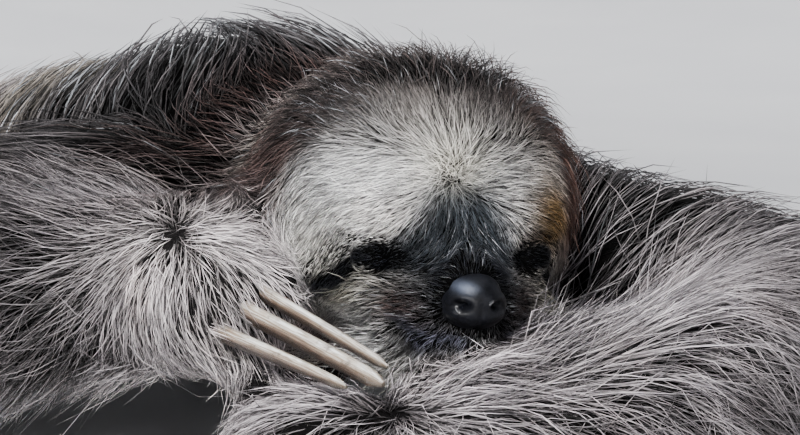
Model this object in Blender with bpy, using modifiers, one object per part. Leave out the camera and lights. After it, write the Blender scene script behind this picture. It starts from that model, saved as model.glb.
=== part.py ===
"""A three-toed sloth asleep with its chin on its arm: a still model at life size.

Metres, +Z up. The trunk lies along Y with the head at its -Y end, and the animal's left is at +X.
The solids are the outer shape of the coat, out to its tips. Claws, nose and eyes are bare.
"""

import math

import bmesh
import bpy
from mathutils import Matrix, Vector

GAP = 0.0003  # between neighbours that touch
MARGIN = 0.003  # kept past a parting cut until the mesh is thinned
WELD = 2e-5
SIDES, RINGS = 24, 16  # of each ball
BALL_STEP = 0.3  # along a limb, as a share of its radius
VOXEL = {"body": 0.0022, "limb": 0.0028, "nose": 0.0006}
SMOOTHING = {"body": 5, "limb": 6, "nose": 4}
TRIANGLES = {
    "head": 1450,
    "neck": 160,
    "trunk": 760,
    "tail": 100,
    "nose": 170,
    "arm": (180, 240, 170),  # upper arm, forearm, hand
    "leg": (160, 130, 140),  # thigh, shin, foot
}

# The pose, with the middle of the head over the origin until the whole model is centred.
HEAD = Vector((0, 0, 0.080))
HEAD_TURN = math.radians(-15)  # the face towards the right forearm
HEAD_LIFT = math.radians(1)
HEAD_LEAN = math.radians(4)  # the left cheek down

# The head in its own frame, x to its left, -y where it looks, z to the crown:
# the middle and the radii of each ball that it is made of.
HEAD_FORMS = {
    "crown and cheeks": ((0, 0.004, 0.002), (0.0470, 0.0450, 0.0430)),
    "flat of the face": ((0, -0.018, -0.006), (0.0370, 0.0270, 0.0310)),
    "jaw": ((0, -0.022, -0.024), (0.0240, 0.0240, 0.0150)),
    "lips and chin": ((0, -0.038, -0.023), (0.0165, 0.0150, 0.0105)),
    "muzzle": ((0, -0.039, -0.0145), (0.0150, 0.0155, 0.0125)),
    "bridge of the nose": ((0, -0.036, -0.003), (0.0105, 0.0100, 0.0130)),
}
NOSE_FORMS = {
    "pad": ((0, -0.0506, -0.0180), (0.0088, 0.0075, 0.0055)),
    "top": ((0, -0.0501, -0.0140), (0.0070, 0.0065, 0.0045)),
}
EYE_R, EYE_FRONT, EYE_DOWN, EYE_OUT = 0.0050, 0.0355, 0.0085, 0.0175
EYE_SIDES, EYE_RINGS = 8, 6
EYE_HOLLOW, EYE_HOLLOW_R = 0.0026, 0.0085
HOLLOW_REACH = 3  # where a soft hollow has died away, in its radii

# The trunk from breast to rump: how far along, how far aside, half its width, its top.
TRUNK = [
    (0.084, 0.008, 0.060, 0.1150),
    (0.130, 0.020, 0.080, 0.1345),
    (0.190, 0.010, 0.088, 0.1260),
    (0.250, 0.002, 0.092, 0.1165),
    (0.310, 0.000, 0.094, 0.1130),
    (0.370, 0.000, 0.086, 0.1080),
    (0.412, 0.000, 0.068, 0.0960),
]
TRUNK_STEPS, TRUNK_REACH = 7, 0.050  # balls to a stretch, and the half length of each
BELLY_SUNK = 0.004  # how far the belly is flattened on the floor
NECK = [(Vector((0, 0.012, 0.070)), 0.040), (Vector((0.004, 0.095, 0.063)), 0.055)]
TAIL = [(Vector((0, 0.430, 0.042)), 0.026), (Vector((0, 0.484, 0.0165)), 0.0180)]

# The cuts across the body: a point on each and the way towards the head.
NAPE = Vector((0.002, 0.040, 0.070)), Vector((0.05, -1, 0.10))
BREAST = Vector((0.006, 0.082, 0.066)), Vector((0, -1, 0.12))
DOCK = Vector((0, 0.459, 0.030)), Vector((0, -1, 0.35))

# The middle of each joint and the radius of the coat round it, down each limb.
ARMS = {
    "left": [
        (Vector((0.062, 0.076, 0.059)), 0.043),  # shoulder
        (Vector((0.118, -0.048, 0.0365)), 0.038),  # elbow
        (Vector((-0.030, -0.057, 0.0255)), 0.0245),  # wrist
        (Vector((-0.055, -0.047, 0.0275)), 0.0270),  # knuckles
    ],
    "right": [
        (Vector((-0.053, 0.100, 0.062)), 0.043),
        (Vector((-0.156, 0.154, 0.0385)), 0.040),
        (Vector((-0.058, 0.024, 0.061)), 0.0275),
        (Vector((-0.058, -0.013, 0.0585)), 0.0175),
    ],
}
LEG = [
    (Vector((0.060, 0.380, 0.048)), 0.046),  # hip
    (Vector((0.122, 0.315, 0.0375)), 0.039),  # knee
    (Vector((0.132, 0.418, 0.0255)), 0.027),  # ankle
    (Vector((0.168, 0.384, 0.0185)), 0.020),  # toes
]

# Claws: the middle one of three from root to tip, how far apart the three are at
# root and tip, and how high each arches over the straight line, as a share of it.
CLAW_R, CLAW_TIP_R, CLAW_POINTS = 0.0024, 0.0007, 6
CLAW_TAPER = 2.2  # over 1, so that it thins late
CLAW_REACH = 0.95, 1.06, 1.0  # of each, against its neighbours
CLAWS = {
    "hand_right": {
        "root": Vector((-0.0630, -0.0090, 0.0632)),
        "tip": Vector((-0.0452, -0.0584, 0.0530)),
        "root_apart": Vector((0.0052, 0.0028, 0.0057)),
        "tip_apart": Vector((0.0040, 0.0006, 0.0018)),
        "arch": Vector((0.5, -0.3, 0.8)),
        "arch_share": 0.045,
    },
    "hand_left": {
        "root": Vector((-0.0560, -0.0580, 0.0190)),
        "tip": Vector((-0.0760, -0.1080, 0.0025)),
        "root_apart": Vector((0.0085, -0.0030, 0.0)),
        "tip_apart": Vector((0.0085, -0.0030, 0.0)),
        "arch": Vector((0.0, -0.4, 0.9)),
        "arch_share": 0.16,
    },
    "foot": {
        "root": Vector((0.1700, 0.3820, 0.0170)),
        "tip": Vector((0.1900, 0.3380, 0.0025)),
        "root_apart": Vector((0.0080, 0.0040, 0.0)),
        "tip_apart": Vector((0.0090, 0.0040, 0.0)),
        "arch": Vector((0.1, -0.3, 0.9)),
        "arch_share": 0.18,
    },
}


def material(name, colour, roughness):
    made = bpy.data.materials.new(name)
    made.use_nodes = True
    shader = made.node_tree.nodes["Principled BSDF"]
    shader.inputs["Base Color"].default_value = (*colour, 1)
    shader.inputs["Roughness"].default_value = roughness
    return made


def collection(name):
    made = bpy.data.collections.new(name)
    bpy.context.scene.collection.children.link(made)
    return made


def to_mesh(form, name):
    mesh = bpy.data.meshes.new(name)
    form.to_mesh(mesh)
    form.free()
    return mesh


def modified(mesh, kind, **settings):
    """A new mesh: this one with one modifier applied."""
    holder = bpy.data.objects.new("holder", mesh)
    bpy.context.scene.collection.objects.link(holder)
    modifier = holder.modifiers.new(kind, kind)
    for name, value in settings.items():
        setattr(modifier, name, value)
    graph = bpy.context.evaluated_depsgraph_get()
    made = bpy.data.meshes.new_from_object(holder.evaluated_get(graph))
    bpy.data.objects.remove(holder)
    return made


def triangle_count(mesh):
    return sum(len(face.vertices) - 2 for face in mesh.polygons)


# Forms are overlapping balls that a voxel remesh makes one smooth skin.
def ball(form, centre, radii):
    place = Matrix.Translation(centre) @ Matrix.Diagonal((*radii, 1))
    bmesh.ops.create_uvsphere(form, u_segments=SIDES, v_segments=RINGS, radius=1, matrix=place)


def limb(form, stations):
    """Balls along the straight runs between (point, radius) stations."""
    for (start, first), (end, last) in zip(stations, stations[1:]):
        steps = math.ceil((end - start).length / (BALL_STEP * min(first, last)))
        for step in range(steps + 1):
            along = step / steps
            radius = first + (last - first) * along
            ball(form, start.lerp(end, along), (radius, radius, radius))


def smooth_between(stations, steps):
    """Rows on a Catmull-Rom curve through the stations, each a row of numbers."""
    rows = [stations[0], *stations, stations[-1]]
    for before, first, second, after in zip(rows, rows[1:], rows[2:], rows[3:]):
        for step in range(steps):
            t = step / steps
            yield [
                ((-a + 3 * b - 3 * c + d) * t**3 + (2 * a - 5 * b + 4 * c - d) * t**2 + (c - a) * t) / 2
                + b
                for a, b, c, d in zip(before, first, second, after)
            ]
    yield stations[-1]


def barrel(form):
    for along, aside, half_width, top in smooth_between(TRUNK, TRUNK_STEPS):
        half_height = (top + BELLY_SUNK) / 2
        centre = (aside, along, top - half_height)
        ball(form, centre, (half_width, TRUNK_REACH, half_height))


def push(form, centre, radius, depth):
    """Presses a soft hollow into the form, or with a negative depth raises a swelling."""
    form.normal_update()
    for corner in form.verts:
        near = (corner.co - centre).length / radius
        if near < HOLLOW_REACH:
            corner.co -= corner.normal * depth * math.exp(-near * near)


def skin(form, kind):
    mesh = modified(to_mesh(form, "form"), "REMESH", mode="VOXEL", voxel_size=VOXEL[kind])
    return modified(mesh, "SMOOTH", factor=0.5, iterations=SMOOTHING[kind])


def cut(form, point, normal, fill):
    """Keeps what lies on the normal's side of the plane."""
    bmesh.ops.bisect_plane(
        form,
        geom=form.verts[:] + form.edges[:] + form.faces[:],
        dist=WELD,
        plane_co=point,
        plane_no=normal,
        clear_inner=True,
    )
    if fill:
        edges = [edge for edge in form.edges if edge.is_boundary]
        bmesh.ops.holes_fill(form, edges=edges)


def portion(whole, name, triangles, planes=()):
    """The part of a whole skin between planes, thinned, capped and standing on the floor."""
    form = bmesh.new()
    form.from_mesh(whole)
    for point, normal in planes:
        cut(form, point - normal * MARGIN, normal, fill=False)
    rough = to_mesh(form, name)
    thin = modified(rough, "DECIMATE", ratio=min(1, triangles / triangle_count(rough)))
    form = bmesh.new()
    form.from_mesh(thin)
    for point, normal in planes:
        cut(form, point + normal * GAP / 2, normal, fill=True)
    cut(form, Vector(), Vector((0, 0, 1)), fill=True)
    return add_node(name, form)


def add_node(name, form):
    bmesh.ops.triangulate(form, faces=form.faces[:])
    keep_largest(form)
    node = bpy.data.objects.new(name, to_mesh(form, name))
    sloth.objects.link(node)
    return node


def keep_largest(form):
    """Welds the slivers of a cut and drops the crumbs that it leaves loose."""
    bmesh.ops.remove_doubles(form, verts=form.verts[:], dist=WELD)
    bmesh.ops.dissolve_degenerate(form, edges=form.edges[:], dist=WELD)
    unseen = set(form.verts)
    shells = []
    while unseen:
        front = [unseen.pop()]
        shell = set()
        while front:
            corner = front.pop()
            shell.add(corner)
            for edge in corner.link_edges:
                other = edge.other_vert(corner)
                if other in unseen:
                    unseen.discard(other)
                    front.append(other)
        shells.append(shell)
    kept = max(shells, key=len)
    loose = [corner for corner in form.verts if corner not in kept]
    bmesh.ops.delete(form, geom=loose, context="VERTS")
    bmesh.ops.triangulate(form, faces=form.faces[:])


def swollen(node):
    """A cutter: the node, larger by the gap all round."""
    form = bmesh.new()
    form.from_mesh(node.data)
    form.normal_update()
    moves = [corner.normal * GAP * min(corner.calc_shell_factor(), 2) for corner in form.verts]
    for corner, move in zip(form.verts, moves):
        corner.co += move
    cutter = bpy.data.objects.new(f"{node.name}_cutter", to_mesh(form, f"{node.name}_cutter"))
    cutters.objects.link(cutter)
    cutter.hide_render = True
    cutter.display_type = "WIRE"
    return cutter


def boxes_meet(first, second):
    for axis in range(3):
        one = [corner.co[axis] for corner in first.data.vertices]
        two = [corner.co[axis] for corner in second.data.vertices]
        if min(one) > max(two) + GAP or min(two) > max(one) + GAP:
            return False
    return True


def carve(node, neighbours):
    """Takes each neighbour that it may touch out of the node, with the gap all round."""
    for neighbour in neighbours:
        if not boxes_meet(node, neighbour):
            continue
        node.data = modified(node.data, "BOOLEAN", operation="DIFFERENCE", object=swollen(neighbour))
        form = bmesh.new()
        form.from_mesh(node.data)
        keep_largest(form)
        node.data = to_mesh(form, node.name)


def head_frame():
    turn = Matrix.Rotation(HEAD_TURN, 4, "Z") @ Matrix.Rotation(-HEAD_LIFT, 4, "X")
    return Matrix.Translation(HEAD) @ turn @ Matrix.Rotation(HEAD_LEAN, 4, "Y")


def on_head(balls):
    form = bmesh.new()
    for centre, radii in balls.values():
        ball(form, centre, radii)
    form.transform(head_frame())
    return form


def eye_centre(side):
    return head_frame() @ Vector((side * EYE_OUT, -EYE_FRONT, -EYE_DOWN))


def make_nose():
    return portion(skin(on_head(NOSE_FORMS), "nose"), "nose", TRIANGLES["nose"])


def make_eye(side, name):
    form = bmesh.new()
    place = Matrix.Translation(eye_centre(side))
    bmesh.ops.create_uvsphere(
        form, u_segments=EYE_SIDES, v_segments=EYE_RINGS, radius=EYE_R, matrix=place
    )
    return add_node(name, form)


def make_body():
    """Head, neck, trunk and tail: one skin, parted by thin cuts."""
    form = on_head(HEAD_FORMS)
    limb(form, NECK)
    barrel(form)
    limb(form, TAIL)
    whole = skin(form, "body")
    form = bmesh.new()
    form.from_mesh(whole)
    for side in (1, -1):
        push(form, eye_centre(side), EYE_HOLLOW_R, EYE_HOLLOW)
    whole = to_mesh(form, "body")
    nape, breast, dock = plane(*NAPE), plane(*BREAST), plane(*DOCK)
    stretches = {
        "head": [nape],
        "neck": [behind(nape), breast],
        "trunk": [behind(breast), dock],
        "tail": [behind(dock)],
    }
    return {name: portion(whole, name, TRIANGLES[name], cuts) for name, cuts in stretches.items()}


def plane(point, normal):
    return point, normal.normalized()


def behind(facing):
    """The same plane, to keep its other side."""
    return facing[0], -facing[1]


def bisector(before, joint, after):
    """The plane at a joint between two runs of a limb, facing the first."""
    return plane(joint, (before - joint).normalized() - (after - joint).normalized())


def make_limb(side, stations, names, triangles):
    """One limb as one skin, parted at its second and third joints."""
    form = bmesh.new()
    limb(form, stations)
    whole = skin(form, "limb")
    joints = [joint for joint, radius in stations]
    middle, end = bisector(*joints[:3]), bisector(*joints[1:])
    planes = [middle], [behind(middle), end], [behind(middle), behind(end)]
    return [
        portion(whole, f"{name}_{side}", count, where)
        for name, count, where in zip(names, triangles, planes)
    ]


def make_arm(side):
    return make_limb(side, ARMS[side], ("upper_arm", "forearm", "hand"), TRIANGLES["arm"])


def make_leg(side):
    mirror = Matrix.Diagonal((1 if side == "left" else -1, 1, 1))
    stations = [(mirror @ joint, radius) for joint, radius in LEG]
    return make_limb(side, stations, ("thigh", "shin", "foot"), TRIANGLES["leg"])


def make_claw(name, root, tip, arch, mirror):
    """A curved claw, round, tapering late to its tip."""
    guide = bpy.data.curves.new(name, "CURVE")
    guide.dimensions = "3D"
    guide.bevel_depth = CLAW_R
    guide.bevel_resolution = 1
    guide.use_fill_caps = True
    spline = guide.splines.new("POLY")
    spline.points.add(CLAW_POINTS - 1)
    for index, point in enumerate(spline.points):
        along = index / (CLAW_POINTS - 1)
        place = root.lerp(tip, along) + arch * 4 * along * (1 - along)
        point.co = (*(mirror @ place), 1)
        point.radius = 1 - (1 - CLAW_TIP_R / CLAW_R) * along**CLAW_TAPER
    tube = bpy.data.objects.new(name, guide)
    cutters.objects.link(tube)
    graph = bpy.context.evaluated_depsgraph_get()
    mesh = bpy.data.meshes.new_from_object(tube.evaluated_get(graph))
    bpy.data.objects.remove(tube)
    form = bmesh.new()
    form.from_mesh(mesh)
    bmesh.ops.remove_doubles(form, verts=form.verts[:], dist=WELD)
    bmesh.ops.recalc_face_normals(form, faces=form.faces[:])
    return add_node(name, form)


def make_claws(paw, side):
    plan = CLAWS[f"{paw}_{side}"] if paw == "hand" else CLAWS[paw]
    mirror = Matrix.Diagonal((-1 if (paw, side) == ("foot", "right") else 1, 1, 1))
    length = (plan["tip"] - plan["root"]).length
    arch = plan["arch"].normalized() * plan["arch_share"] * length
    claws = []
    for number, reach in enumerate(CLAW_REACH, 1):
        root = plan["root"] + plan["root_apart"] * (number - 2)
        tip = root.lerp(plan["tip"] + plan["tip_apart"] * (number - 2), reach)
        claws.append(make_claw(f"{paw}_claw_{side}_{number}", root, tip, arch, mirror))
    return claws


def paint(nodes, finish):
    for node in nodes:
        node.data.materials.clear()
        node.data.materials.append(finish)
        node.data.shade_smooth()


def centre_all(nodes):
    """Puts the origin under the middle of the model's box, on the floor."""
    corners = [corner.co for node in nodes for corner in node.data.vertices]
    low = Vector([min(corner[axis] for corner in corners) for axis in range(3)])
    high = Vector([max(corner[axis] for corner in corners) for axis in range(3)])
    shift = Matrix.Translation((-(low.x + high.x) / 2, -(low.y + high.y) / 2, -low.z))
    for node in nodes:
        node.data.transform(shift)


def main():
    body = make_body()
    nose = make_nose()
    eyes = [make_eye(1, "eye_left"), make_eye(-1, "eye_right")]
    arms = {side: make_arm(side) for side in ("left", "right")}
    legs = {side: make_leg(side) for side in ("left", "right")}
    claws = {
        (paw, side): make_claws(paw, side) for paw in ("hand", "foot") for side in ("left", "right")
    }

    carve(body["head"], [nose, *eyes])
    for side, other in (("left", "right"), ("right", "left")):
        for segment in arms[side]:
            carve(segment, [*body.values(), *claws["hand", side], *claws["hand", other]])
        for segment in legs[side]:
            carve(segment, [*body.values(), *claws["foot", side]])

    bare = [claw for group in claws.values() for claw in group]
    fleshy = [*body.values(), *arms["left"], *arms["right"], *legs["left"], *legs["right"]]
    paint(fleshy, material("coat", (0.22, 0.17, 0.12), 0.9))
    paint(bare, material("claw", (0.72, 0.60, 0.42), 0.35))
    paint([nose], material("nose_pad", (0.012, 0.011, 0.012), 0.25))
    paint(eyes, material("eye", (0.02, 0.010, 0.005), 0.1))
    centre_all([*fleshy, *bare, nose, *eyes])


for leftover in list(bpy.data.objects):
    bpy.data.objects.remove(leftover)
sloth = collection("sloth")
cutters = collection("cutters")
main()
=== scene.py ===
import math
from contextlib import contextmanager

import bpy
import numpy as np
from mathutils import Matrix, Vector
from mathutils.kdtree import KDTree


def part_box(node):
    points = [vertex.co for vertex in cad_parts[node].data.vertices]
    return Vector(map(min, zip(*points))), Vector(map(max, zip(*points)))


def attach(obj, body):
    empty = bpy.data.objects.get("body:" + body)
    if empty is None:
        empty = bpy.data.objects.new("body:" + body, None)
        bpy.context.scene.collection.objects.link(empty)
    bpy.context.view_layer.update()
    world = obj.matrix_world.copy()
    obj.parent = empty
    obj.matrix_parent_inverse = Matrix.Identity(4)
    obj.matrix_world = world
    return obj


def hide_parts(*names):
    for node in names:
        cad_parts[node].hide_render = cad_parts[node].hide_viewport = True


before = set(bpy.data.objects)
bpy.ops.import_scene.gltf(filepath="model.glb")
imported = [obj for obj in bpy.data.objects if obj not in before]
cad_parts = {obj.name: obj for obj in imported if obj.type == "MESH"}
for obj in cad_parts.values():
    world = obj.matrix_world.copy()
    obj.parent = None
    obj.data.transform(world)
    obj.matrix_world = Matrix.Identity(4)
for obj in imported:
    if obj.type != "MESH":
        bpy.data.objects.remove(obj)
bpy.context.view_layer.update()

sides = {"left": 1, "right": -1}
limbParts = ("upper_arm", "forearm", "hand", "thigh", "shin", "foot")
fleshNodes = ["head", "neck", "trunk", "tail"] + [f"{part}_{side}" for part in limbParts for side in sides]
coatedNodes = fleshNodes + ["nose", "eye_left", "eye_right"]
headParts = ("head", "nose", "eye")


# Where the head is and which way it looks, from the eyes and the nose.
headPlan = {
    "eyesAhead": 0.0355,  # of the middle of the head
    "eyesBelow": 0.0085,
    "noseDrop": math.radians(28.2),  # the slope from the eyes down to the nose
}


def middleOf(node):
    low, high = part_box(node)
    return (low + high) / 2


def findHead():
    leftEye, rightEye = middleOf("eye_left"), middleOf("eye_right")
    across = (leftEye - rightEye).normalized()
    between = (leftEye + rightEye) / 2
    toNose = middleOf("nose") - between
    toNose = (toNose - across * toNose.dot(across)).normalized()
    square = toNose.cross(across)
    drop = headPlan["noseDrop"]
    ahead = toNose * math.cos(drop) + square * math.sin(drop)
    upward = square * math.cos(drop) - toNose * math.sin(drop)
    middle = between - ahead * headPlan["eyesAhead"] + upward * headPlan["eyesBelow"]
    return np.array(middle), np.array([across, ahead, upward])


headMiddle, headAxes = findHead()


def toHead(spots):  # millimetres to its left, ahead of and above the middle of the head
    return (spots - headMiddle) @ headAxes.T * 1000


def fromHead(spots):
    return headMiddle + np.array(spots) @ headAxes / 1000


# Helpers for pieces, for their meshes and for values that change over them.
def alone(piece):
    bpy.ops.object.select_all(action="DESELECT")
    piece.select_set(True)
    bpy.context.view_layer.objects.active = piece


def linked(name, data):
    made = bpy.data.objects.new(name, data)
    bpy.context.scene.collection.objects.link(made)
    return made


def primitive(add, **settings):
    bpy.ops.object.select_all(action="DESELECT")
    add(**settings)
    return bpy.context.active_object


@contextmanager
def editMode(kind=None, select=None):
    bpy.ops.object.mode_set(mode="EDIT")
    if kind:
        bpy.ops.mesh.select_mode(type=kind)
    if select:
        bpy.ops.mesh.select_all(action=select)
    yield
    bpy.ops.object.mode_set(mode="OBJECT")


def selectNone(kind=None):  # in the active piece's mesh
    with editMode(kind, "DESELECT"):
        pass


def finishWith(piece, kind, **settings):
    alone(piece)
    modifier = piece.modifiers.new(kind, kind)
    for name, value in settings.items():
        setattr(modifier, name, value)
    bpy.ops.object.modifier_apply(modifier=modifier.name)


def readNumbers(items, what, width=1, kind=np.int32):
    numbers = np.empty(len(items) * width, kind)
    items.foreach_get(what, numbers)
    return numbers.reshape(-1, width) if width > 1 else numbers


def readSpots(mesh, what="co"):
    return readNumbers(mesh.vertices, what, 3, np.float32).astype(float)


def putSpots(mesh, spots):
    mesh.vertices.foreach_set("co", spots.astype(np.float32).ravel())
    mesh.update()


def readTriangles(mesh):  # the points and the loops of each one
    mesh.calc_loop_triangles()
    return [readNumbers(mesh.loop_triangles, what, 3) for what in ("vertices", "loops")]


def writeNumbers(mesh, **fields):  # one for each point, for the materials to read
    for name, values in fields.items():
        field = mesh.attributes.new(name, "FLOAT", "POINT")
        field.data.foreach_set("value", values.astype(np.float32))


def writeColour(mesh, colour):
    field = mesh.attributes.new("coatColour", "FLOAT_COLOR", "POINT")
    full = np.c_[colour, np.ones(len(colour))]
    field.data.foreach_set("color", full.astype(np.float32).ravel())


def unit(arrows):
    return arrows / np.maximum(np.linalg.norm(arrows, axis=-1, keepdims=True), 1e-9)


def ease(low, high, value):
    share = np.clip((value - low) / (high - low), 0, 1)
    return share * share * (3 - 2 * share)


def blotch(spots, centre, radii, strength=1):  # up to 1 in the middle, fading out past the radii
    gap = (spots - np.array(centre)) / np.array(radii)
    return np.minimum(1, strength * np.exp(-(gap * gap).sum(-1)))


def band(spots, start, end, radius, strength=1):  # the same round a straight line
    start, end = np.array(start, float), np.array(end, float)
    along = np.clip((spots - start) @ (end - start) / ((end - start) @ (end - start)), 0, 1)
    gap = np.linalg.norm(spots - start - along[:, None] * (end - start), axis=1) / radius
    return np.minimum(1, strength * np.exp(-gap * gap))


def halved(head):  # both halves of the head laid on its left one
    return np.stack([np.abs(head[:, 0]), head[:, 1], head[:, 2]], 1)


def mix(first, second, share):
    return first + (second - first) * np.asarray(share)[..., None]


def layered(base, looks, layers):  # each layer's look mixed in by its share
    for name, share in layers:
        base = mix(base, looks[name], share)
    return base


def ringOf(corners, count, most=10):  # each point's neighbours, after itself
    pairs = np.concatenate([corners[:, [0, 1]], corners[:, [1, 2]], corners[:, [2, 0]]])
    pairs = np.unique(np.concatenate([pairs, pairs[:, ::-1]]), axis=0)
    first = np.searchsorted(pairs[:, 0], np.arange(count))
    place = np.arange(len(pairs)) - first[pairs[:, 0]]
    ring = np.repeat(np.arange(count)[:, None], most + 1, axis=1)
    kept = place < most
    ring[pairs[kept, 0], place[kept] + 1] = pairs[kept, 1]
    return ring


def evened(values, ring, rounds, share=0.5):
    for _ in range(rounds):
        values = values + (values[ring].mean(1) - values) * share
    return values


def fairly(spots, ring, rounds):  # smooths without shrinking
    for _ in range(rounds):
        spots = evened(spots, ring, 1, 0.60)
        spots = evened(spots, ring, 1, -0.63)
    return spots


# The skin: the flesh nodes as one surface, drawn in by the depth of the coat.
skinPlan = {
    "swell": 0.0005,  # so that the nodes meet before they are made one
    "voxel": 0.0034,
    "fairing": 14,
    "depth": {  # millimetres of coat over the skin
        "neck": 12.0,
        "trunk": 15.0,
        "tail": 8.0,
        "upper_arm": 13.0,
        "forearm": 9.0,
        "hand_left": 7.0,
        "hand_right": 4.5,
        "thigh": 13.0,
        "shin": 8.0,
        "foot": 5.0,
    },
    "headDepth": (7.5, 2.5),  # behind the face and on it
    "thinner": (1.3, 0.8),  # by so much on the muzzle and round the eyes
    "leastDepth": 0.8,
    "unwrap": {"angle_limit": math.radians(66), "island_margin": 0.002},
    "depthEvening": 12,
    "clear": 0.0012,  # of the floor
}


def labelled(spots):  # the number of the node nearest to each spot
    samples = []
    for number, name in enumerate(coatedNodes):
        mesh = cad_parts[name].data
        corners, _ = readTriangles(mesh)
        places = readSpots(mesh)
        samples += [(place, number) for place in np.concatenate([places, places[corners].mean(1)])]
    tree = KDTree(len(samples))
    for place, number in samples:
        tree.insert(place, number)
    tree.balance()
    return np.array([tree.find(spot)[1] for spot in spots])


def on(nodeOf, *starts):  # which spots are on the nodes whose names start so
    return np.isin(nodeOf, [number for number, name in enumerate(coatedNodes) if name.startswith(starts)])


def byNode(plan, nodeOf):  # each spot's row of a plan that names nodes with or without their side
    none = np.zeros(np.shape(plan["trunk"]))  # for the head, which has rules of its own
    rows = [plan.get(name, plan.get(name.rsplit("_", 1)[0], none)) for name in coatedNodes]
    return np.array(rows, float)[nodeOf]


def wrapFlesh():
    copies = [linked("flesh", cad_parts[name].data.copy()) for name in coatedNodes]
    skin = copies[0]
    alone(skin)
    for copy in copies:
        copy.select_set(True)
    bpy.ops.object.join()
    skin.name = skin.data.name = "sloth_skin"
    with editMode(select="SELECT"):
        bpy.ops.mesh.remove_doubles(threshold=1e-5)
        bpy.ops.mesh.normals_make_consistent(inside=False)
    finishWith(skin, "DISPLACE", strength=skinPlan["swell"], mid_level=0)
    finishWith(skin, "REMESH", mode="VOXEL", voxel_size=skinPlan["voxel"])
    return skin


def coatDepth(spots, nodeOf):  # in metres
    depth = byNode(skinPlan["depth"], nodeOf)
    head = toHead(spots)
    onHead = on(nodeOf, *headParts)
    back, face = skinPlan["headDepth"]
    onMuzzle, atEyes = skinPlan["thinner"]
    thin = back - (back - face) * ease(8, 34, head[:, 1])
    thin = thin - onMuzzle * blotch(head, (0, 48, -20), (16, 16, 14))
    for side in sides.values():
        thin = thin - atEyes * blotch(head, (side * 17.5, 38, -8.5), (10, 12, 8))
    depth[onHead] = np.maximum(thin[onHead], skinPlan["leastDepth"])
    return depth / 1000


def selectFaces(mesh, wanted):  # wanted: one True or False for each point
    counts = readNumbers(mesh.polygons, "loop_total")
    loops = readNumbers(mesh.loops, "vertex_index")
    starts = np.concatenate([[0], np.cumsum(counts)[:-1]])
    for items in (mesh.vertices, mesh.edges):
        items.foreach_set("select", np.zeros(len(items), bool))
    mesh.polygons.foreach_set("select", np.logical_and.reduceat(wanted[loops], starts))


def refine(skin, wanted):
    alone(skin)
    selectFaces(skin.data, wanted(toHead(readSpots(skin.data))))
    with editMode("FACE"):
        bpy.ops.mesh.subdivide(number_cuts=1, smoothness=0)


def nearEyes(head, reach):
    near = np.zeros(len(head), bool)
    for side in sides.values():
        near |= np.linalg.norm((head - [side * 18.5, 37, -9]) / [1.3, 1.6, 1], axis=1) < reach
    return near


# Folds of the face, in the head's own millimetres.
facePlan = {
    "eye": (19.8, 34.2, -9.2),
    "eyeball": 4.3,
    "lid": 0.7,
    "slit": (4.6, 0.22),  # half the length and half the height of the crease between the lids
    "slitTilt": math.radians(14),  # the outer corner lower
    "mouth": [(0, -25.6), (7, -26.4), (13, -25.6), (17, -22.5)],  # aside and above, from the middle out
}


def sculptFace(spots, normals):
    head = toHead(spots)
    turned = halved(head)
    raised = np.zeros(len(head))
    raised -= 2.0 * blotch(turned, (19, 37, -9), (9, 12, 5.0))  # hollow of the eye
    raised -= 1.3 * band(turned, (25, 34, -11), (31, 25, -20), 3.0)  # and down the cheek
    raised += 0.9 * blotch(turned, (17, 40, 0), (12, 12, 4.5))  # brow
    raised += 0.8 * blotch(turned, (15, 40, -17), (8, 10, 5))  # cheek under the eye
    raised += 0.6 * band(turned, (0, 44, 2), (0, 50, -8), 4.0)  # bridge
    raised -= 0.6 * band(turned, (7.5, 45, 0), (10, 45, -10), 3.0)
    raised += 0.8 * blotch(turned, (10, 48, -21), (6, 8, 4))  # upper lip
    raised += 0.5 * blotch(turned, (0, 50, -29), (8, 8, 3))  # lower lip
    groove = np.zeros(len(head))
    flat = np.stack([turned[:, 0], turned[:, 2]], 1)
    for start, end in zip(facePlan["mouth"], facePlan["mouth"][1:]):
        groove = np.maximum(groove, band(flat, start, end, 0.9))
    raised -= 1.3 * groove * (head[:, 1] > 28)
    raised -= 1.8 * blotch(head, (0.3, 55, -16.5), (6.6, 12, 4.8))  # under the nose pad
    moved = spots + normals * raised[:, None] / 1000
    head = toHead(moved)
    for side in sides.values():
        centre = np.array(facePlan["eye"]) * [side, 1, 1]
        away = head - centre
        far = np.linalg.norm(away, axis=1)
        tilt = facePlan["slitTilt"]
        outward = away[:, 0] * side
        run = outward * math.cos(tilt) - away[:, 2] * math.sin(tilt)
        rise = outward * math.sin(tilt) + away[:, 2] * math.cos(tilt)
        ahead = away[:, 1] > 0
        lid = facePlan["eyeball"] + facePlan["lid"]
        wanted = np.maximum(far, lid - 1.5 * ease(lid - 0.5, lid + 3.5, far))
        half, high = facePlan["slit"]
        opening = high * np.sqrt(np.clip(1 - (run / half) ** 2, 0, 1))
        inside = np.clip(1.6 - np.abs(rise) / np.maximum(opening, 0.05), 0, 1) * (np.abs(run) < half)
        wanted = wanted * (1 - inside) + (facePlan["eyeball"] + 0.3) * inside
        share = (ahead & (far < 9)).astype(float)
        head += away / np.maximum(far, 0.1)[:, None] * ((wanted - far) * share)[:, None]
    return fromHead(head)


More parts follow.
